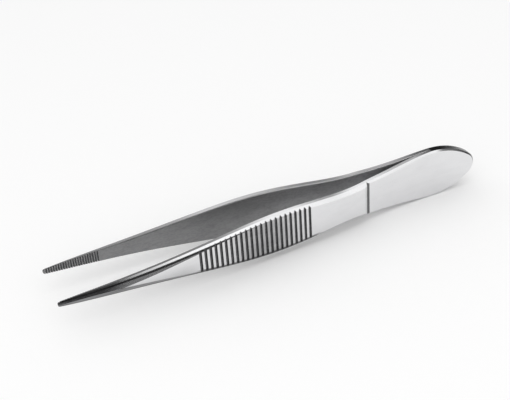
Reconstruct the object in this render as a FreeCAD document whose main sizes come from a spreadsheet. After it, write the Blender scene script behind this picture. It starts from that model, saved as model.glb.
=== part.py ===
import FreeCAD, Part
import math
import os
import Sketcher

V = FreeCAD.Vector
doc = FreeCAD.newDocument("thumb_forceps")

# Sizes in mm. x runs from the joined butt end towards the tips, y outward from the plane
# where the two legs meet, z across the width of a leg.
SIZES = {
    # run of the inner face of a leg, seen on its edge
    "weld_end": 11.5,  # butt end to where the legs start to part
    "first_bend": 18.1,  # length of the bend behind the shoulder
    "straight": 14.7,  # straight spring part after it
    "second_bend": 10.5,  # length of the bend in front of the shoulder
    "spread": 0.127,  # slope of the straight spring part
    "jaw_spread": 0.0874,  # slope at the start of the long bow
    "tip_spread": 0.0038,  # slope at the tip
    "weld_stock": 0.08,  # metal ground off the mating face of a leg
    # distance of each cross-section from the one before it, butt end first
    "step_weld": 7.0,
    "step_paddle": 7.0,
    "step_waist": 8.0,
    "step_neck": 7.0,
    "step_shoulder": 7.0,
    "step_heel": 13.0,
    "step_grip": 13.0,
    "step_thumb": 14.0,
    "step_front": 16.0,
    "step_jaw": 16.0,
    "step_tip": 17.0,
    # half width of a leg at each cross-section
    "half_butt": 7.5,
    "half_waist": 6.73,
    "half_neck": 5.86,
    "half_shoulder": 5.3,
    "half_heel": 5.3,
    "half_grip": 6.01,
    "half_thumb": 5.24,
    "half_front": 3.42,
    "half_jaw": 1.95,
    "half_tip": 0.75,
    # thickness of the blank there
    "thick_butt": 1.9,
    "thick_waist": 2.0,
    "thick_neck": 2.1,
    "thick_shoulder": 2.2,
    "thick_heel": 2.15,
    "thick_grip": 2.1,
    "thick_thumb": 2.1,
    "thick_front": 2.1,
    "thick_jaw": 1.95,
    "thick_tip": 0.6,
    # crown of the outer face: width of its steep bevel, of the facet inside it and of the
    # shallow facet next to the flat
    "bevel_butt": 0.72,
    "bevel_waist": 0.72,
    "bevel_neck": 0.75,
    "bevel_shoulder": 0.8,
    "bevel_heel": 0.72,
    "bevel_grip": 0.65,
    "bevel_thumb": 0.55,
    "bevel_front": 0.42,
    "bevel_jaw": 0.33,
    "bevel_tip": 0.12,
    "roll_butt": 0.06,
    "roll_waist": 0.06,
    "roll_neck": 0.06,
    "roll_shoulder": 0.06,
    "roll_heel": 0.06,
    "roll_grip": 0.06,
    "roll_thumb": 0.22,
    "roll_front": 0.5,
    "roll_jaw": 0.42,
    "roll_tip": 0.15,
    "wedge_butt": 0.06,
    "wedge_waist": 0.06,
    "wedge_neck": 0.06,
    "wedge_shoulder": 0.06,
    "wedge_heel": 0.06,
    "wedge_grip": 0.06,
    "wedge_thumb": 0.08,
    "wedge_front": 0.42,
    "wedge_jaw": 1.15,
    "wedge_tip": 0.42,
    "bevel_slope": 1.11,  # depth of the steep bevel for each mm of width
    "roll_slope": 0.65,
    "wedge_slope": 0.38,
    # broken inner corner of a leg, and how far its long side leans in above that corner
    "lip_butt": 0.05,
    "lip_waist": 0.12,
    "lip_neck": 0.15,
    "lip_shoulder": 0.18,
    "lip_heel": 0.2,
    "lip_grip": 0.2,
    "lip_thumb": 0.2,
    "lip_front": 0.2,
    "lip_jaw": 0.14,
    "lip_tip": 0.06,
    "tuck_butt": 0.01,
    "tuck_waist": 0.02,
    "tuck_neck": 0.03,
    "tuck_shoulder": 0.05,
    "tuck_heel": 0.08,
    "tuck_grip": 0.1,
    "tuck_thumb": 0.12,
    "tuck_front": 0.12,
    "tuck_jaw": 0.08,
    "tuck_tip": 0.02,
    # thinner spring part behind the shoulder
    "plate": 1.4,  # thickness of the joined butt part of a leg
    "spring": 1.72,  # thickness of the leg just behind the shoulder
    "plate_bend": 90.0,  # radius of the bend of the outer face behind the shoulder
    "relief": 1.0,  # width of the relief groove behind the shoulder
    "relief_depth": 0.5,
    "break_run": 0.8,  # length of the bevel on top of the shoulder
    "break_drop": 0.18,  # depth of that bevel
    # rounded ends
    "cap": 14.0,  # length of the rounded butt end
    "nose": 4.0,  # radius at the very end of the butt
    "tip_round": 0.7,  # radius of the tip seen on its face
    "margin": 3.0,  # how far the cutting shapes reach past the metal
    # finger grip
    "grooves": 23,
    "groove_pitch": 1.47,
    "groove_back": 38.15,  # tips to the nearest groove
    "groove_top": 2.1,  # thickness of the leg at that groove
    "groove_width": 0.8,
    "groove_depth": 0.42,
    "groove_floor": 0.14,  # width of the flat floor of a groove
    # jaw serrations
    "teeth": 22,
    "tooth_pitch": 0.66,
    "tooth_back": 0.55,  # tips to the nearest serration
    "tooth_width": 0.52,
    "tooth_depth": 0.24,
}
SECTIONS = ["butt", "weld", "paddle", "waist", "neck", "shoulder", "heel", "grip", "thumb", "front", "jaw", "tip"]

sizes = doc.addObject("Spreadsheet::Sheet", "sizes")
row = 0


def cell(alias, content):
    global row
    row += 1
    sizes.set("A%d" % row, alias)
    sizes.set("B%d" % row, content)
    sizes.setAlias("B%d" % row, alias)


for alias in SIZES:
    cell(alias, str(SIZES[alias]))

# places that follow from the sizes
cell("x_butt", "0")
for before, name in zip(SECTIONS, SECTIONS[1:]):
    cell("x_" + name, "=x_%s + step_%s" % (before, name))
for name in ("weld", "paddle"):
    for kind in ("half", "thick", "bevel", "roll", "wedge", "lip", "tuck"):
        cell("%s_%s" % (kind, name), "=%s_butt" % kind)
cell("length", "=x_tip")
cell("bend_end", "=weld_end + first_bend")
cell("bow_start", "=bend_end + straight")
cell("bow_end", "=bow_start + second_bend")
cell("bow_radius", "=(length - bow_end) / (jaw_spread - tip_spread)")
cell("groove_first", "=length - groove_back")
cell("tooth_first", "=length - tooth_back")


def ramp(at, start, end, step):
    run = "(%s - %s)" % (end, start)
    rise = "min(max(%s - %s; 0); %s)^2 / (2 * %s) + max(%s - %s; 0)" % (at, start, run, run, at, end)
    return "(%s) * (%s)" % (step, rise)


def inner(at):
    return "%s - %s - %s" % (
        ramp(at, "weld_end", "bend_end", "spread"),
        ramp(at, "bow_start", "bow_end", "spread - jaw_spread"),
        ramp(at, "bow_end", "length", "jaw_spread - tip_spread"),
    )


# inner face at the first groove, the first serration and the start of the long bow
cell("y_grip_first", "=%s - weld_stock" % inner("groove_first"))
cell("y_tooth_first", "=%s - weld_stock" % inner("tooth_first"))
cell("y_bow", "=%s - weld_stock" % inner("bow_end"))
# centre of the long bow, about which grooves and serrations are stepped
cell("bow_x", "=bow_end + bow_radius * jaw_spread")
cell("bow_y", "=y_bow - bow_radius")
# corners of each cross-section from the inner face to the flat of the outer one: y is the
# inner face and edge the foot of the crown
CORNERS = [
    ("y_{0}", "half_{0} - tuck_{0} - lip_{0}"),
    ("y_{0} + lip_{0}", "half_{0} - tuck_{0}"),
    ("edge_{0}", "half_{0}"),
    ("edge_{0} + bevel_{0} * bevel_slope", "half_{0} - bevel_{0}"),
    ("y_{0} + thick_{0} - wedge_{0} * wedge_slope", "half_{0} - bevel_{0} - roll_{0}"),
    ("y_{0} + thick_{0}", "half_{0} - bevel_{0} - roll_{0} - wedge_{0}"),
]
for name in SECTIONS:
    cell("y_" + name, "=%s - weld_stock" % inner("x_" + name))
    crown = "bevel_{0} * bevel_slope + roll_{0} * roll_slope + wedge_{0} * wedge_slope"
    cell("edge_" + name, ("=y_{0} + thick_{0} - (" + crown + ")").format(name))
    for k, (out, up) in enumerate(CORNERS):
        cell("out%d_%s" % (k, name), "=" + out.format(name))
        cell("up%d_%s" % (k, name), "=" + up.format(name))
doc.recompute()


def val(alias):
    return float(sizes.get(alias))


def bind(sketch, index, expression):
    sketch.setExpression("Constraints[%d]" % index, expression)


def new_sketch(body, name, plane):
    sketch = body.newObject("Sketcher::SketchObject", name)
    names = {"XY": "XY_Plane", "XZ": "XZ_Plane", "YZ": "YZ_Plane"}
    for feature in body.Origin.OriginFeatures:
        if feature.Role == names[plane]:
            sketch.AttachmentSupport = [(feature, "")]
    sketch.MapMode = "FlatFace"
    return sketch


def polygon(sketch, points):
    # closed chain of straight edges; returns the index of the first one
    first = sketch.GeometryCount
    count = len(points)
    for k in range(count):
        a = points[k]
        b = points[(k + 1) % count]
        sketch.addGeometry(Part.LineSegment(V(a[0], a[1], 0), V(b[0], b[1], 0)))
    for k in range(count):
        sketch.addConstraint(Sketcher.Constraint("Coincident", first + k, 2, first + (k + 1) % count, 1))
    return first


def at_xy(sketch, geo, end, x, y, expr_x, expr_y):
    i = sketch.addConstraint(Sketcher.Constraint("DistanceX", -1, 1, geo, end, x))
    bind(sketch, i, expr_x)
    i = sketch.addConstraint(Sketcher.Constraint("DistanceY", -1, 1, geo, end, y))
    bind(sketch, i, expr_y)


def section(body, name):
    # one cross-section: inner face with broken corners, leaning sides, a crown ground in
    # three facets and a flat outer face
    sketch = new_sketch(body, "section_" + name, "YZ")
    sketch.setExpression("AttachmentOffset.Base.z", "sizes.x_" + name)
    places = range(len(CORNERS))
    half_ring = [(val("out%d_%s" % (k, name)), val("up%d_%s" % (k, name))) for k in places]
    first = polygon(sketch, half_ring + [(out, -up) for out, up in reversed(half_ring)])
    for k in places:
        at_xy(sketch, first + k, 1, half_ring[k][0], half_ring[k][1],
              "sizes.out%d_%s" % (k, name), "sizes.up%d_%s" % (k, name))
        other = first + 2 * len(CORNERS) - 1 - k
        sketch.addConstraint(Sketcher.Constraint("Symmetric", first + k, 1, other, 1, -1))
    return sketch


def pocket(body, name, sketch):
    # cut through the whole width, to both sides of the sketch
    before = body.Shape.Volume
    cut = body.newObject("PartDesign::Pocket", name)
    cut.Profile = sketch
    cut.Midplane = True
    cut.Length = 60
    sketch.Visibility = False
    doc.recompute()
    if not cut.Shape.Volume < before - 1e-4:
        raise ValueError("%s removes nothing: %.6f to %.6f" % (name, before, cut.Shape.Volume))
    return cut


def stepped(body, name, cut, pivot, count, angle):
    # the same cut repeated about the centre of the long bow
    before = body.Shape.Volume
    pattern = body.newObject("PartDesign::PolarPattern", name)
    pattern.Originals = [cut]
    pattern.Axis = (pivot, ["N_Axis"])
    pattern.setExpression("Occurrences", count)
    pattern.setExpression("Angle", angle)
    body.Tip = pattern
    doc.recompute()
    if not pattern.Shape.Volume < before - 1e-4:
        raise ValueError("%s removes nothing: %.6f to %.6f" % (name, before, pattern.Shape.Volume))
    return pattern


def outside_butt(body, name):
    # what lies outside the rounded butt end: its outline has two side arcs and a nose arc
    cap = new_sketch(body, name, "XZ")
    half = val("half_butt")
    margin = val("margin")
    length = val("cap")
    nose = val("nose")
    side = ((length - nose) ** 2 + half * half - nose * nose) / (2 * (half - nose))
    out = half + margin
    lean = math.atan2(side - half, length - nose)
    cap.addGeometry(Part.LineSegment(V(length, half, 0), V(length, out, 0)))
    cap.addGeometry(Part.LineSegment(V(length, out, 0), V(-margin, out, 0)))
    cap.addGeometry(Part.LineSegment(V(-margin, out, 0), V(-margin, -out, 0)))
    cap.addGeometry(Part.LineSegment(V(-margin, -out, 0), V(length, -out, 0)))
    cap.addGeometry(Part.LineSegment(V(length, -out, 0), V(length, -half, 0)))
    low = Part.Circle(V(length, side - half, 0), V(0, 0, 1), side)
    cap.addGeometry(Part.ArcOfCircle(low, -math.pi + lean, -math.pi / 2))
    end = Part.Circle(V(nose, 0, 0), V(0, 0, 1), nose)
    cap.addGeometry(Part.ArcOfCircle(end, math.pi - lean, math.pi + lean))
    high_side = Part.Circle(V(length, half - side, 0), V(0, 0, 1), side)
    cap.addGeometry(Part.ArcOfCircle(high_side, math.pi / 2, math.pi - lean))
    add = cap.addConstraint
    for k in range(4):
        add(Sketcher.Constraint("Coincident", k, 2, k + 1, 1))
    add(Sketcher.Constraint("Perpendicular", 4, 2, 5, 2))
    add(Sketcher.Constraint("Tangent", 5, 1, 6, 2))
    add(Sketcher.Constraint("Tangent", 6, 1, 7, 2))
    add(Sketcher.Constraint("Perpendicular", 7, 1, 0, 1))
    for k in (0, 2):
        add(Sketcher.Constraint("Vertical", k))
    for k in (1, 3):
        add(Sketcher.Constraint("Horizontal", k))
    add(Sketcher.Constraint("Symmetric", 0, 1, 4, 2, -1))
    add(Sketcher.Constraint("Symmetric", 0, 2, 4, 1, -1))
    add(Sketcher.Constraint("PointOnObject", 6, 3, -1))
    i = add(Sketcher.Constraint("Radius", 6, nose))
    bind(cap, i, "sizes.nose")
    i = add(Sketcher.Constraint("DistanceX", -1, 1, 6, 3, nose))
    bind(cap, i, "sizes.nose")
    at_xy(cap, 0, 1, length, half, "sizes.cap", "sizes.half_butt")
    i = add(Sketcher.Constraint("DistanceY", 0, 1, 0, 2, margin))
    bind(cap, i, "sizes.margin")
    i = add(Sketcher.Constraint("DistanceX", 2, 1, -1, 1, margin))
    bind(cap, i, "sizes.margin")
    return cap


def leg(label, turn, tooth_shift):
    body = doc.addObject("PartDesign::Body", label)
    body.Label = label
    # the leg blank in two lofts that meet at the shoulder
    sections = {name: section(body, name) for name in SECTIONS}
    split = SECTIONS.index("shoulder")
    for part, run in (("rear", SECTIONS[:split + 1]), ("front", SECTIONS[split:])):
        loft = body.newObject("PartDesign::AdditiveLoft", "%s_%s" % (label, part))
        loft.Profile = sections[run[0]]
        loft.Sections = [sections[name] for name in run[1:]]
        loft.Ruled = False
        doc.recompute()

    # mating face ground flat where the two legs are welded together
    mate = new_sketch(body, label + "_mate", "XY")
    margin = val("margin")
    end = val("x_shoulder")
    g = polygon(mate, [(-margin, 0.0), (-margin, -margin), (end, -margin), (end, 0.0)])
    mate.addConstraint(Sketcher.Constraint("Vertical", g))
    mate.addConstraint(Sketcher.Constraint("Horizontal", g + 1))
    mate.addConstraint(Sketcher.Constraint("Vertical", g + 2))
    at_xy(mate, g, 1, -margin, 0.0, "-sizes.margin", "0")
    mate.addConstraint(Sketcher.Constraint("PointOnObject", g + 3, 1, -1))
    i = mate.addConstraint(Sketcher.Constraint("DistanceY", g, 2, g, 1, margin))
    bind(mate, i, "sizes.margin")
    i = mate.addConstraint(Sketcher.Constraint("DistanceX", g + 1, 1, g + 1, 2, end + margin))
    bind(mate, i, "sizes.x_shoulder + sizes.margin")
    pocket(body, label + "_ground_mate", mate)

    # outer face behind the shoulder ground thinner, with a relief groove at the shoulder
    thin = new_sketch(body, label + "_thin", "XY")
    plate = val("plate")
    xs = val("x_shoulder")
    ys = val("y_shoulder")
    spring = ys + val("spring")
    crest = ys + val("thick_shoulder")
    relief = val("relief")
    deep = val("relief_depth")
    run = val("break_run")
    down = val("break_drop")
    high = plate + 2 * margin
    start = val("weld_end")
    radius = val("plate_bend")
    slope = val("spread")
    bend = start + radius * slope
    chain = [
        ((-margin, plate), (start, plate)),
        ((bend, plate + radius * slope * slope / 2), (xs - relief, spring - relief * slope)),
        ((xs - relief, spring - relief * slope), (xs - relief / 4, spring - deep)),
        ((xs - relief / 4, spring - deep), (xs, crest - down)),
        ((xs, crest - down), (xs + run, crest + run * slope + 0.05)),
        ((xs + run, crest + run * slope + 0.05), (xs + run, high)),
        ((xs + run, high), (-margin, high)),
        ((-margin, high), (-margin, plate)),
    ]
    for a, b in chain:
        thin.addGeometry(Part.LineSegment(V(a[0], a[1], 0), V(b[0], b[1], 0)))
    circle = Part.Circle(V(start, plate + radius, 0), V(0, 0, 1), radius)
    thin.addGeometry(Part.ArcOfCircle(circle, -math.pi / 2, -math.pi / 2 + math.atan(slope)))
    arc = len(chain)
    for k in range(1, len(chain)):
        thin.addConstraint(Sketcher.Constraint("Coincident", k, 2, (k + 1) % len(chain), 1))
    thin.addConstraint(Sketcher.Constraint("Tangent", 0, 2, arc, 1))
    thin.addConstraint(Sketcher.Constraint("Tangent", arc, 2, 1, 1))
    thin.addConstraint(Sketcher.Constraint("Horizontal", 0))
    thin.addConstraint(Sketcher.Constraint("Vertical", 5))
    thin.addConstraint(Sketcher.Constraint("Horizontal", 6))
    thin.addConstraint(Sketcher.Constraint("Vertical", 7))
    at_xy(thin, 0, 1, -margin, plate, "-sizes.margin", "sizes.plate")
    i = thin.addConstraint(Sketcher.Constraint("DistanceX", -1, 1, 0, 2, start))
    bind(thin, i, "sizes.weld_end")
    at_xy(thin, 2, 1, xs - relief, spring - relief * slope,
          "sizes.x_shoulder - sizes.relief", "sizes.y_shoulder + sizes.spring - sizes.relief * sizes.spread")
    i = thin.addConstraint(Sketcher.Constraint("Radius", arc, radius))
    bind(thin, i, "sizes.plate_bend")
    at_xy(thin, 3, 1, xs - relief / 4, spring - deep,
          "sizes.x_shoulder - sizes.relief / 4", "sizes.y_shoulder + sizes.spring - sizes.relief_depth")
    at_xy(thin, 4, 1, xs, crest - down,
          "sizes.x_shoulder", "sizes.y_shoulder + sizes.thick_shoulder - sizes.break_drop")
    at_xy(thin, 5, 1, xs + run, crest + run * slope + 0.05, "sizes.x_shoulder + sizes.break_run",
          "sizes.y_shoulder + sizes.thick_shoulder + sizes.break_run * sizes.spread + sizes.weld_stock")
    i = thin.addConstraint(Sketcher.Constraint("DistanceY", -1, 1, 6, 1, high))
    bind(thin, i, "sizes.plate + 2 * sizes.margin")
    pocket(body, label + "_ground_spring", thin)

    # rounded butt end, with the bevel of its sides carried round it
    pocket(body, label + "_rounded_butt", outside_butt(body, label + "_butt_outline"))
    rim = outside_butt(body, label + "_butt_rim")
    rim.setExpression("AttachmentOffset.Base.z", "-sizes.edge_butt")
    before = body.Shape.Volume
    bevel = body.newObject("PartDesign::Pocket", label + "_butt_bevel")
    bevel.Profile = rim
    bevel.setExpression("Length", "sizes.thick_butt")
    bevel.setExpression("TaperAngle", "atan(1 / sizes.bevel_slope)")
    rim.Visibility = False
    doc.recompute()
    if not bevel.Shape.Volume < before - 1e-4:
        raise ValueError("the bevel of the butt removes nothing")

    # centre of the long bow
    pivot = new_sketch(body, label + "_pivot", "XY")
    pivot.setExpression("AttachmentOffset.Base.x", "sizes.bow_x")
    pivot.setExpression("AttachmentOffset.Base.y", "sizes.bow_y")

    # grip grooves across the outer face
    grip = new_sketch(body, label + "_groove", "XY")
    gx = val("groove_first")
    gw = val("groove_width") / 2
    gf = val("groove_floor") / 2
    gy = val("y_grip_first") + val("groove_top")
    gd = val("groove_depth")
    wide = 2 * gw - gf
    g = polygon(grip, [(gx - gf, gy - gd), (gx + gf, gy - gd), (gx + wide, gy + gd), (gx - wide, gy + gd)])
    top = "sizes.y_grip_first + sizes.groove_top"
    at_xy(grip, g, 1, gx - gf, gy - gd,
          "sizes.groove_first - sizes.groove_floor / 2", top + " - sizes.groove_depth")
    at_xy(grip, g, 2, gx + gf, gy - gd,
          "sizes.groove_first + sizes.groove_floor / 2", top + " - sizes.groove_depth")
    at_xy(grip, g + 2, 1, gx + 2 * gw - gf, gy + gd,
          "sizes.groove_first + sizes.groove_width - sizes.groove_floor / 2", top + " + sizes.groove_depth")
    at_xy(grip, g + 2, 2, gx - 2 * gw + gf, gy + gd,
          "sizes.groove_first - sizes.groove_width + sizes.groove_floor / 2", top + " + sizes.groove_depth")
    cut = pocket(body, label + "_grip_groove", grip)
    stepped(body, label + "_grip_grooves", cut, pivot, "sizes.grooves",
            "(sizes.grooves - 1) * sizes.groove_pitch / (sizes.bow_radius + sizes.groove_top) * 180 / pi")

    # fine serrations across the inner face of the jaw
    jaw = new_sketch(body, label + "_tooth", "XY")
    shift = " - %s * sizes.tooth_pitch" % tooth_shift
    tx = val("tooth_first") - tooth_shift * val("tooth_pitch")
    ty = val("y_tooth_first")
    tw = val("tooth_width") / 2
    td = val("tooth_depth")
    g = polygon(jaw, [(tx - 2 * tw, ty - td), (tx + 2 * tw, ty - td), (tx, ty + td)])
    at_xy(jaw, g, 1, tx - 2 * tw, ty - td,
          "sizes.tooth_first - sizes.tooth_width" + shift, "sizes.y_tooth_first - sizes.tooth_depth")
    at_xy(jaw, g, 2, tx + 2 * tw, ty - td,
          "sizes.tooth_first + sizes.tooth_width" + shift, "sizes.y_tooth_first - sizes.tooth_depth")
    at_xy(jaw, g + 1, 2, tx, ty + td,
          "sizes.tooth_first" + shift, "sizes.y_tooth_first + sizes.tooth_depth")
    cut = pocket(body, label + "_tooth_cut", jaw)
    stepped(body, label + "_teeth", cut, pivot, "sizes.teeth",
            "(sizes.teeth - 1) * sizes.tooth_pitch / sizes.bow_radius * 180 / pi")

    # tip rounded as seen on its face
    tip = new_sketch(body, label + "_tip", "XZ")
    ends = val("length")
    nib = val("tip_round")
    wide = 4 * nib
    tip.addGeometry(Part.LineSegment(V(ends - nib, nib, 0), V(ends - nib, wide, 0)))
    tip.addGeometry(Part.LineSegment(V(ends - nib, wide, 0), V(ends + nib, wide, 0)))
    tip.addGeometry(Part.LineSegment(V(ends + nib, wide, 0), V(ends + nib, -wide, 0)))
    tip.addGeometry(Part.LineSegment(V(ends + nib, -wide, 0), V(ends - nib, -wide, 0)))
    tip.addGeometry(Part.LineSegment(V(ends - nib, -wide, 0), V(ends - nib, -nib, 0)))
    round_end = Part.Circle(V(ends - nib, 0, 0), V(0, 0, 1), nib)
    tip.addGeometry(Part.ArcOfCircle(round_end, -math.pi / 2, math.pi / 2))
    add = tip.addConstraint
    for k in range(5):
        add(Sketcher.Constraint("Coincident", k, 2, k + 1, 1))
    add(Sketcher.Constraint("Coincident", 5, 2, 0, 1))
    for k in (0, 2, 4):
        add(Sketcher.Constraint("Vertical", k))
    for k in (1, 3):
        add(Sketcher.Constraint("Horizontal", k))
    add(Sketcher.Constraint("PointOnObject", 5, 3, -1))
    i = add(Sketcher.Constraint("Radius", 5, nib))
    bind(tip, i, "sizes.tip_round")
    for geo, end in ((5, 3), (0, 1), (4, 2)):
        i = add(Sketcher.Constraint("DistanceX", -1, 1, geo, end, ends - nib))
        bind(tip, i, "sizes.length - sizes.tip_round")
    at_xy(tip, 1, 2, ends + nib, wide, "sizes.length + sizes.tip_round", "4 * sizes.tip_round")
    i = add(Sketcher.Constraint("DistanceY", 2, 2, -1, 1, wide))
    bind(tip, i, "4 * sizes.tip_round")
    pocket(body, label + "_rounded_tip", tip)

    # put in place: butt towards +x, tips towards -x, width upright, lowest edge at z = 0
    body.Placement = FreeCAD.Placement(V(0, 0, 0), FreeCAD.Rotation(turn, 180))
    body.setExpression("Placement.Base.x", "sizes.length / 2")
    body.setExpression("Placement.Base.z", "sizes.half_butt")
    doc.recompute()
    return body


near_leg = leg("near_leg", V(0, 0, 1), 0.0)
far_leg = leg("far_leg", V(0, 1, 0), 0.5)
doc.recompute()

for obj in doc.Objects:
    if "Invalid" in obj.State or "Error" in obj.State:
        raise ValueError("%s is not valid: %s" % (obj.Name, obj.State))

os.makedirs("parts", exist_ok=True)
for body in (near_leg, far_leg):
    shape = body.Shape
    if shape.isNull() or not shape.isValid():
        raise ValueError("%s has no valid shape" % body.Label)
    box = shape.BoundBox
    print(body.Label, "volume %.1f" % shape.Volume, "solids", len(shape.Solids), "faces", len(shape.Faces),
          "x %.2f %.2f y %.2f %.2f z %.2f %.2f" % (box.XMin, box.XMax, box.YMin, box.YMax, box.ZMin, box.ZMax))
    shape.exportStep("parts/%s.step" % body.Label)
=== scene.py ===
import math

import bmesh
import bpy
from mathutils import Matrix, Vector

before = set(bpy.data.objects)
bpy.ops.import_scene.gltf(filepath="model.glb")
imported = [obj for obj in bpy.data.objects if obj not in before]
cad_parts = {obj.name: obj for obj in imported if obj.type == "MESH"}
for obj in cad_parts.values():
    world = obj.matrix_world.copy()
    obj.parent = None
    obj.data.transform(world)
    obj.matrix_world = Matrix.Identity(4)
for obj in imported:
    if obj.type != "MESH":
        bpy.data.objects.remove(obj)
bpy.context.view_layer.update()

# The near leg is forged and ground from stainless steel. Its outer face is polished, its inner
# face is left satin, and grooves for the finger are milled across the outside. Painted shade
# darkens the jaw's outer facets and the middle of the ridges.

# colours of the finishes, and of the painted shade and highlights on the steel
POLISHED = (0.80, 0.80, 0.81, 1)
JAW_PAINTED_SHADE = (0.165, 0.165, 0.17, 1)
RIDGE_PAINTED_SHADE = (0.42, 0.42, 0.425, 1)
SHADED_WALL_PAINT = (0.05, 0.05, 0.052, 1)
LIT_WALL_PAINT = (0.92, 0.92, 0.93, 1)
GROOVE_PAINTED_SHADE = (0.105, 0.105, 0.108, 1)
UNDERSIDE_PAINTED_SHADE = (0.035, 0.035, 0.036, 1)
BUTT_EDGE_PAINTED_SHADE = (0.2, 0.2, 0.204, 1)
GRIP_EDGE_PAINTED_SHADE = (0.09, 0.09, 0.092, 1)
LOW_JAW_PAINTED_SHADE = (0.45, 0.45, 0.455, 1)
CLOUDED = (0.62, 0.62, 0.63, 1)
DULLED = (0.72, 0.72, 0.72, 1)
SATIN_BLUE = 1.015

# Stretches along a leg in metres, with the tip at -0.0625 and the butt at 0.0625. Two numbers are
# the start and the end of a smooth change. Four are a rise followed by a fall.
GROOVED = (-0.0252, -0.0248, 0.0084, 0.0088)
RIDGES_SHADED = (-0.019, -0.008, -0.004, 0.009)
GRIP_SHADE_RUN = (-0.027, -0.023, 0.009, 0.012)
STEP_RUN = (0.018, 0.020, 0.0275, 0.0285)
JAW_SHADE_RUN = (-0.0415, -0.0485)
JAW_END = (-0.03, -0.022)
UNDERSIDE_SHADE_END = (0.022, 0.03)
BUTT_SHADE_NEAR = (0.042, 0.047)
BUTT_SHADE_FAR = (0.034, 0.047)
BUTT_SHADE_FADE = (0.050, 0.060)
# the same for the satin face, whose grey is partly painted shade, each with the grey it starts from
# and the grey it reaches or adds
SATIN_SHADE_JAW = (-0.055, -0.02, 0.28, 0.35)
SATIN_SHADE_GRIP = (-0.02, 0.012, 0.0, 0.24)
SATIN_SHADE_SPRING = (0.016, 0.033, 0.0, 0.36)
# heights in metres between which the painted shade on the foot of the jaw fades out
JAW_FOOT = (0.0045, 0.0095)
# how squarely a face looks outward: 1 on the flat, and from 0.67 to 0.93 on the ground facets
FACET = (0.3, 0.6)
# roughness of the polish, and what each other finish adds to it
POLISH_ROUGH = 0.12
SATIN_ROUGH = 0.28
CUT_ROUGH = 0.15
GROUND_ROUGH = 0.1
BRUSHED_ROUGH = 0.08


class Shade:
    """A socket of a node tree that takes part in sums and products."""

    def __init__(self, tree, socket):
        self.tree, self.socket = tree, socket

    def node(self, kind, settings=None, **values):
        """A node of this kind: settings first, then its sockets by name, or by number as i0, i1."""
        made = self.tree.nodes.new(kind)
        for name, value in (settings or {}).items():
            setattr(made, name, value)
        for name, value in values.items():
            key = int(name[1:]) if name[1:].isdigit() else name.replace("_", " ")
            if isinstance(value, Shade):
                self.tree.links.new(value.socket, made.inputs[key])
            else:
                made.inputs[key].default_value = value
        return made

    def out(self, kind, which, settings=None, **values):
        """One output of a new node, by name or number."""
        return Shade(self.tree, self.node(kind, settings, **values).outputs[which])

    def parts(self, vector):
        """The x, y and z of a vector."""
        split = self.node("ShaderNodeSeparateXYZ", i0=vector)
        return [Shade(self.tree, socket) for socket in split.outputs]

    def maths(self, operation, *values):
        return self.out("ShaderNodeMath", 0, {"operation": operation},
                        **{"i%d" % k: value for k, value in enumerate(values)})

    def __add__(self, other):
        return self.maths("ADD", self, other)

    def __sub__(self, other):
        return self.maths("SUBTRACT", self, other)

    def __rsub__(self, other):
        return self.maths("SUBTRACT", other, self)

    def __mul__(self, other):
        return self.maths("MULTIPLY", self, other)

    __radd__ = __add__
    __rmul__ = __mul__

    def span(self, low, high, start=0.0, end=1.0):
        """A smooth step from start, below low, to end, above high."""
        return self.out("ShaderNodeMapRange", 0, {"interpolation_type": "SMOOTHSTEP"},
                        i0=self, i1=low, i2=high, i3=start, i4=end)

    def band(self, rise, full, fade, gone):
        """A smooth step up from rise to full, and down again from fade to gone."""
        return self.span(rise, full) * (1.0 - self.span(fade, gone))

    def mix(self, other, share):
        """This colour, with a share of the other laid over it."""
        return self.out("ShaderNodeMix", 2, {"data_type": "RGBA"}, i0=share, i6=self, i7=other)


def groove_floors(x_place, y_outward, outside):
    """Floors of the finger grooves, which take painted shade, all at one distance from the centre of
    the leg's long bow.
    """
    bow_ahead = 0.06569  # the centre lies this far past the leg's middle, towards the tip
    bow_across = 0.83565  # and this far from the joint plane, on the other leg's side
    floor_reach = 0.844595
    floor_top = (0.00004, 0.00026)
    across = y_outward + bow_across
    ahead = x_place + bow_ahead
    reach = across.maths("SQRT", across * across + ahead * ahead)
    floors = (1.0 - (reach - floor_reach).span(*floor_top)) * outside.span(0.8, 0.92)
    return floors * x_place.band(*GROOVED)


def grip_edge_shade(x_place, z_place, outside):
    """The painted dark line of shade along the grip's lower edge, which curves up away from the
    leg's middle.
    """
    lowest = 0.00181
    curve = 3.8
    line = (0.00080, 0.00120)
    above = z_place - x_place * x_place * curve - lowest
    return (1.0 - above.span(*line)) * x_place.band(*GRIP_SHADE_RUN) * outside.span(*FACET)


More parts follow.
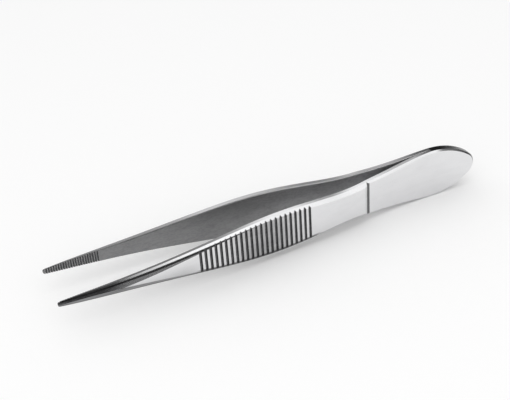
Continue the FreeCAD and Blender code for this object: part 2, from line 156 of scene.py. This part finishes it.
def leg_steel(name, outward):
    """Steel of one leg; outward is 1 or -1, the y direction that its outer face looks in."""
    steel = bpy.data.materials.new(name)
    steel.use_nodes = True
    steel.node_tree.nodes.clear()
    pen = Shade(steel.node_tree, None)
    place = pen.out("ShaderNodeTexCoord", "Object")
    x_place, y_place, z_place = pen.parts(place)
    along, across, upward = pen.parts(pen.out("ShaderNodeNewGeometry", "Normal"))
    outside = across * float(outward)
    inner = outside.span(-0.45, -0.8)
    not_inner = outside.span(-0.3, 0.0)

    def grain(length, width, detail):
        lay = pen.out("ShaderNodeMapping", 0, Vector=place, Scale=(1 / length, 1 / width, 1 / width))
        return pen.out("ShaderNodeTexNoise", 0, Vector=lay, Scale=1.0, Detail=detail, Roughness=0.6)

    brushed = grain(length=0.012, width=0.00035, detail=3.0)
    mottle = grain(length=0.006, width=0.0016, detail=4.0)
    cloud = grain(length=0.011, width=0.006, detail=2.0)
    speck = grain(length=0.0009, width=0.0004, detail=2.0)
    scratch = grain(length=0.03, width=0.00018, detail=2.0)

    tone = pen.out("ShaderNodeRGB", 0)
    tone.socket.default_value = POLISHED
    # painted shade on the jaw's outer facets, which are also ground rougher
    jaw_shade_and_grinding = x_place.span(*JAW_SHADE_RUN) * outside.span(*FACET)
    tone = tone.mix(JAW_PAINTED_SHADE, jaw_shade_and_grinding)
    # a painted darker reflection, mottled, on the middle of the ridges
    shaded_ridges = x_place.band(*RIDGES_SHADED) * outside.span(0.75, 0.95)
    tone = tone.mix(RIDGE_PAINTED_SHADE, shaded_ridges * mottle.span(0.2, 0.6, 0.7, 1.0))

    # the satin inner face, its grey lowered along the leg as painted shade from the facing leg, and
    # the two walls of each serration in it, one with painted shade and one with a painted highlight
    satin = x_place.span(*SATIN_SHADE_JAW) + x_place.span(*SATIN_SHADE_GRIP) + x_place.span(*SATIN_SHADE_SPRING)
    satin_shaded_colour = pen.out("ShaderNodeCombineColor", 0, i0=satin, i1=satin, i2=satin * SATIN_BLUE)
    tone = tone.mix(satin_shaded_colour, inner)
    tone = tone.mix(SHADED_WALL_PAINT, along.span(-0.2, -0.45) * (1.0 - not_inner) * 0.9)
    tone = tone.mix(LIT_WALL_PAINT, along.span(0.2, 0.45) * (1.0 - not_inner) * 0.9)

    # painted shade on the cut faces across the outside, the grooves' walls and floors, with the
    # step's side left lighter
    step_side = along.span(0.1, 0.3) * x_place.band(*STEP_RUN)
    cut = along.maths("ABSOLUTE", along).span(0.2, 0.45) * not_inner * (1.0 - step_side * 0.8)
    groove_shade = cut.maths("MAXIMUM", cut, groove_floors(x_place, y_place * float(outward), outside))
    tone = tone.mix(GROOVE_PAINTED_SHADE, groove_shade * 0.93)

    # painted shade on faces that look down, on the butt's upper edge, along the grip's lower edge
    # and on the foot of the jaw
    tone = tone.mix(UNDERSIDE_PAINTED_SHADE, upward.span(-0.15, -0.4) * (1.0 - x_place.span(*UNDERSIDE_SHADE_END)))
    # a painted dark reflection on the top of the butt, lighter towards its end
    edge_run = BUTT_SHADE_FAR if outward > 0 else BUTT_SHADE_NEAR
    butt_edge_shade = upward.span(0.85, 0.95) * x_place.span(*edge_run)
    butt_edge_shade = butt_edge_shade * (1.0 - x_place.span(*BUTT_SHADE_FADE) * 0.55)
    tone = tone.mix(BUTT_EDGE_PAINTED_SHADE, butt_edge_shade * 0.85)
    tone = tone.mix(GRIP_EDGE_PAINTED_SHADE, grip_edge_shade(x_place, z_place, outside) * 0.9)
    # painted shade, darker towards the bottom of the jaw's outer face
    low_jaw_shade = (1.0 - x_place.span(*JAW_END)) * (1.0 - z_place.span(*JAW_FOOT))
    tone = tone.mix(LOW_JAW_PAINTED_SHADE, low_jaw_shade * outside.span(0.8, 0.95) * 0.75)

    # faint clouds on the polish, and dull specks that are strongest on the satin face
    tone = tone.mix(CLOUDED, cloud.span(0.45, 0.75) * outside.span(0.7, 0.95) * 0.12)
    dull = mottle.span(0.35, 0.75) * (0.12 + inner * 0.3) + speck.span(0.42, 0.62) * inner * 0.4
    tone = pen.out("ShaderNodeMix", 2, {"data_type": "RGBA", "blend_type": "MULTIPLY"},
                   i0=dull, i6=tone, i7=DULLED)

    rough = POLISH_ROUGH + inner * SATIN_ROUGH + cut * CUT_ROUGH + jaw_shade_and_grinding * GROUND_ROUGH
    rough = rough + (brushed - 0.5) * BRUSHED_ROUGH
    bump = pen.out("ShaderNodeBump", 0, Strength=0.12, Distance=0.00004,
                   Height=brushed * 0.6 + scratch * 0.4)
    surface = pen.out("ShaderNodeBsdfPrincipled", 0, Base_Color=tone, Metallic=1.0, Roughness=rough,
                      Normal=bump)
    pen.node("ShaderNodeOutputMaterial", Surface=surface)
    return steel


def finish_leg(leg, outward):
    """Give a leg its steel, smooth its curved faces and keep its ground edges crisp."""
    same_corner = 0.000002
    crisp_angle = math.radians(10)
    leg.data.materials.clear()
    leg.data.materials.append(leg_steel(leg.name + " steel", outward))
    for face in leg.data.polygons:
        face.use_smooth = True
    leg.modifiers.new("weld", "WELD").merge_threshold = same_corner
    leg.modifiers.new("edges", "EDGE_SPLIT").split_angle = crisp_angle


finish_leg(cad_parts["near_leg"], -1)

# The far leg is the mirror image of the near one. It shows its satin inner face, with the fine
# serrations of the jaw, and it is welded to the near leg at the butt.
finish_leg(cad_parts["far_leg"], 1)

# The table is plain white paper, and it takes the instrument's shadow. It is laid out flat under
# the lower long edges of the legs and reaches far past the picture.
TABLE_REACH = 3.0


def studio_piece(name, shape):
    """A piece of the studio in the shape of a bmesh, which is freed."""
    mesh = bpy.data.meshes.new(name)
    shape.to_mesh(mesh)
    shape.free()
    piece = bpy.data.objects.new(name, mesh)
    bpy.context.scene.collection.objects.link(piece)
    return piece


floor_shape = bmesh.new()
bmesh.ops.create_grid(floor_shape, x_segments=1, y_segments=1, size=TABLE_REACH)
floor = studio_piece("table", floor_shape)
paper = bpy.data.materials.new("white table")
paper.use_nodes = True
paper_shader = paper.node_tree.nodes["Principled BSDF"]
paper_shader.inputs["Base Color"].default_value = (0.98, 0.98, 0.98, 1)
paper_shader.inputs["Roughness"].default_value = 0.9
paper_shader.inputs["Specular IOR Level"].default_value = 0.0
floor.data.materials.append(paper)

# The studio is a dark round room that only the steel sees. Wide soft light comes from overhead
# and from the right, a lit window stands low in the back, and a pale strip runs low all round.
ROOM_RADIUS = 1.5
DARK_GLOW = 0.035
STRIP_GLOW = 0.14
SIDE_GLOW = 1.1
OVERHEAD_GLOW = 1.25
BACK_WALL_GLOW = 0.13
WINDOW_GLOW = 0.95
CEILING_GLOW = 0.22
LIT_CEILING_GLOW = 0.5
room_shape = bmesh.new()
bmesh.ops.create_uvsphere(room_shape, u_segments=48, v_segments=24, radius=ROOM_RADIUS)
room = studio_piece("studio", room_shape)
room.visible_camera = False
room.visible_diffuse = False
room.visible_shadow = False
room.visible_transmission = False
walls = bpy.data.materials.new("studio walls")
walls.use_nodes = True
walls.node_tree.nodes.clear()
pen = Shade(walls.node_tree, None)
# places on the walls, as shares of the room's radius
to_right, to_back, height = (part * (1 / ROOM_RADIUS)
                             for part in pen.parts(pen.out("ShaderNodeTexCoord", "Object")))
behind = to_back.span(0.2, 0.5)
lit = to_right.span(0.025, 0.075)
strip = 1.0 - height.span(0.14, 0.36)
side = to_right.span(0.2, 0.48) * (1.0 - to_right.span(0.56, 0.7) * 0.85)
side = side * (1.0 - to_back.span(-0.1, 0.25))
overhead = height.span(0.72, 0.84) * lit * (1.0 - side) * (1.0 - behind)
back_wall = (1.0 - to_right.span(0.25, 0.40)) * (1.0 - height.span(0.6, 0.75))
window = to_right.band(0.05, 0.3, 0.36, 0.47) * (1.0 - height.span(0.55, 0.61))
ceiling = height.span(0.5, 0.8) * (lit * LIT_CEILING_GLOW + CEILING_GLOW)
light_behind = back_wall * BACK_WALL_GLOW + window * WINDOW_GLOW + ceiling
light = DARK_GLOW + strip * STRIP_GLOW + side * SIDE_GLOW + overhead * OVERHEAD_GLOW
light = light + behind * light_behind
glow = pen.out("ShaderNodeEmission", 0, Color=light, Strength=1.0)
pen.node("ShaderNodeOutputMaterial", Surface=glow)
room.data.materials.append(walls)

# The air of the room gives plain even light, and it is white wherever it is seen straight or in
# a mirror. One large soft light hangs above the instrument, in front of it and to its left.
ROOM_LIGHT = 0.82
world = bpy.data.worlds.new("room")
bpy.context.scene.world = world
world.use_nodes = True
air = Shade(world.node_tree, None)
sight = air.node("ShaderNodeLightPath")
camera_ray, glossy_ray, transmission_ray = (
    Shade(world.node_tree, sight.outputs[name])
    for name in ("Is Camera Ray", "Is Glossy Ray", "Is Transmission Ray"))
white = (camera_ray + glossy_ray + transmission_ray).span(0.0, 1.0)
strength = ROOM_LIGHT + white * (1 - ROOM_LIGHT)
background = world.node_tree.nodes["Background"]
background.inputs["Color"].default_value = (1, 1, 1, 1)
world.node_tree.links.new(strength.socket, background.inputs["Strength"])

softbox = bpy.data.lights.new("softbox", "AREA")
softbox.shape = "DISK"
softbox.size = 1.0
softbox.energy = 2.05
softbox.specular_factor = 0.0
softbox_object = bpy.data.objects.new("softbox", softbox)
softbox_object.location = (-0.15, -0.35, 0.8)
softbox_object.visible_glossy = False
softbox_object.rotation_euler = (-softbox_object.location).to_track_quat("-Z", "Y").to_euler()
bpy.context.scene.collection.objects.link(softbox_object)

# The camera stands in front and to the left, looking down on the instrument. Its place, its roll
# and its lens were fitted to the outlines in the photograph.
AZIMUTH = math.radians(-21.19)
ELEVATION = math.radians(34.33)
ROLL = math.radians(4.29)
DISTANCE = 0.2913
FOCAL_PIXELS = 1097.2
FRAME_PIXELS = 510
AIM = Vector((-0.005008, 0, 0.015617))
away = Vector((math.sin(AZIMUTH) * math.cos(ELEVATION), -math.cos(AZIMUTH) * math.cos(ELEVATION),
               math.sin(ELEVATION)))
level = Vector((math.cos(AZIMUTH), math.sin(AZIMUTH), 0))
upright = away.cross(level)
right = math.cos(ROLL) * level - math.sin(ROLL) * upright
up = math.sin(ROLL) * level + math.cos(ROLL) * upright
lens = bpy.data.cameras.new("camera")
lens.sensor_width = 36
lens.lens = lens.sensor_width * FOCAL_PIXELS / FRAME_PIXELS
lens.clip_start = 0.01
lens.clip_end = 20
camera = bpy.data.objects.new("camera", lens)
turn = Matrix((right, up, away)).transposed().to_4x4()
camera.matrix_world = Matrix.Translation(AIM + away * DISTANCE) @ turn
bpy.context.scene.collection.objects.link(camera)
bpy.context.scene.camera = camera
bpy.context.scene.view_settings.view_transform = "Standard"
